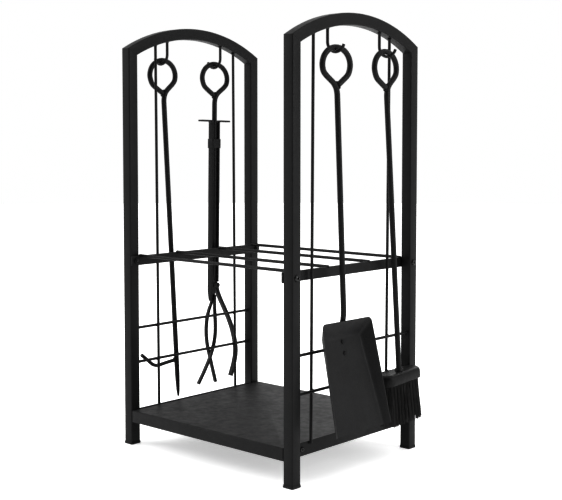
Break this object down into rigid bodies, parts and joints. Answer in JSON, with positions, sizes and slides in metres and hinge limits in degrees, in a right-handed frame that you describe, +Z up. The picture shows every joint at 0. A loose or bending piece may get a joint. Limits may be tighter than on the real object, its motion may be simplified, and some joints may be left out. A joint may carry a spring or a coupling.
{
  "type": "fireplace tool set",
  "caption": "Free-standing two-tier firewood rack in black steel tube with arched ends and hooks, holding a ring-handled poker, tongs, ash shovel and hearth brush.",
  "frame": {"origin": "on the floor, under the middle of the whole object's box, which is 13.1 mm to the right of the rack's own middle", "axes": "+X runs from the left end panel to the right one, +Y from the front of the rack to its back, +Z up"},
  "size_m": [0.4885, 0.336, 0.762],
  "materials": {
    "frame_steel": "satin black powder coat with a fine texture",
    "tray_steel": "satin black powder coat on folded sheet",
    "tool_steel": "satin black powder coat on bent bar",
    "pan_steel": "satin black powder coat on pressed sheet",
    "pin_steel": "satin black coat on rivets and pins",
    "bolt_steel": "glossy black zinc plate",
    "foot_plastic": "matte moulded black",
    "brush_plastic": "satin moulded black",
    "bristle": "stiff black synthetic bristles in tufts"
  },
  "bodies": {
    "rack": {"arch_left": "frame_steel", "side_rail_left": "frame_steel", "leg_left_front": "frame_steel", "foot_cap_left_front": "foot_plastic", "upright_rod_left_front": "frame_steel", "hook_left_front": "frame_steel", "leg_left_back": "frame_steel", "foot_cap_left_back": "foot_plastic", "upright_rod_left_back": "frame_steel", "hook_left_back": "frame_steel", "cross_rod_left_lower": "frame_steel", "cross_rod_left_upper": "frame_steel", "arch_right": "frame_steel", "side_rail_right": "frame_steel", "leg_right_front": "frame_steel", "foot_cap_right_front": "foot_plastic", "upright_rod_right_front": "frame_steel", "hook_right_front": "frame_steel", "leg_right_back": "frame_steel", "foot_cap_right_back": "foot_plastic", "upright_rod_right_back": "frame_steel", "hook_right_back": "frame_steel", "cross_rod_right_lower": "frame_steel", "cross_rod_right_upper": "frame_steel", "log_tray": "tray_steel", "tray_screw_left_front": "bolt_steel", "tray_screw_left_back": "bolt_steel", "tray_screw_right_front": "bolt_steel", "tray_screw_right_back": "bolt_steel", "shelf_bar_left": "frame_steel", "shelf_bolt_left_front": "bolt_steel", "shelf_bolt_left_back": "bolt_steel", "shelf_bar_right": "frame_steel", "shelf_bolt_right_front": "bolt_steel", "shelf_bolt_right_back": "bolt_steel", "shelf_rod_1": "frame_steel", "shelf_rod_2": "frame_steel", "shelf_rod_3": "frame_steel", "shelf_rod_4": "frame_steel"},
    "poker": {"poker_handle": "tool_steel", "poker_prong": "tool_steel"},
    "tongs": {"tongs_handle": "tool_steel", "tongs_claw_outer": "tool_steel", "tongs_claw_inner": "tool_steel", "tongs_pivot_pin": "pin_steel"},
    "tongs_slider": {"tongs_arm_front": "tool_steel", "tongs_arm_back": "tool_steel", "tongs_collar": "tool_steel", "tongs_link_pin": "pin_steel"},
    "tongs_jaw": {"tongs_jaw": "tool_steel"},
    "shovel": {"shovel_handle": "tool_steel", "shovel_pan": "pan_steel", "shovel_rivet_1": "pin_steel", "shovel_rivet_2": "pin_steel"},
    "brush": {"brush_handle": "tool_steel", "brush_head": "brush_plastic", "brush_bristles": "bristle"}
  },
  "joints": [
    {"name": "poker_lift", "type": "slide", "parent": "rack", "child": "poker", "axis": [-0.5, 0, 0.866], "range_m": [0, 0.12]},
    {"name": "tongs_lift", "type": "slide", "parent": "rack", "child": "tongs", "axis": [-0.5, 0, 0.866], "range_m": [0, 0.12]},
    {"name": "shovel_lift", "type": "slide", "parent": "rack", "child": "shovel", "axis": [0.5, 0, 0.866], "range_m": [0, 0.12]},
    {"name": "brush_lift", "type": "slide", "parent": "rack", "child": "brush", "axis": [0.5, 0, 0.866], "range_m": [0, 0.12]},
    {"name": "tongs_pull", "type": "slide", "parent": "tongs", "child": "tongs_slider", "axis": [0, 0.0157, 0.9999], "range_m": [0, 0.004]},
    {"name": "tongs_jaw_open", "type": "hinge", "parent": "tongs", "child": "tongs_jaw", "pos_m": [-0.2256, 0.06521, 0.26656], "axis": [1, 0, 0], "range_deg": [0, 22.95]}
  ],
  "couplings": [
    {"joint": "tongs_jaw_open", "follows": "tongs_pull", "rad_per_m": 100}
  ]
}
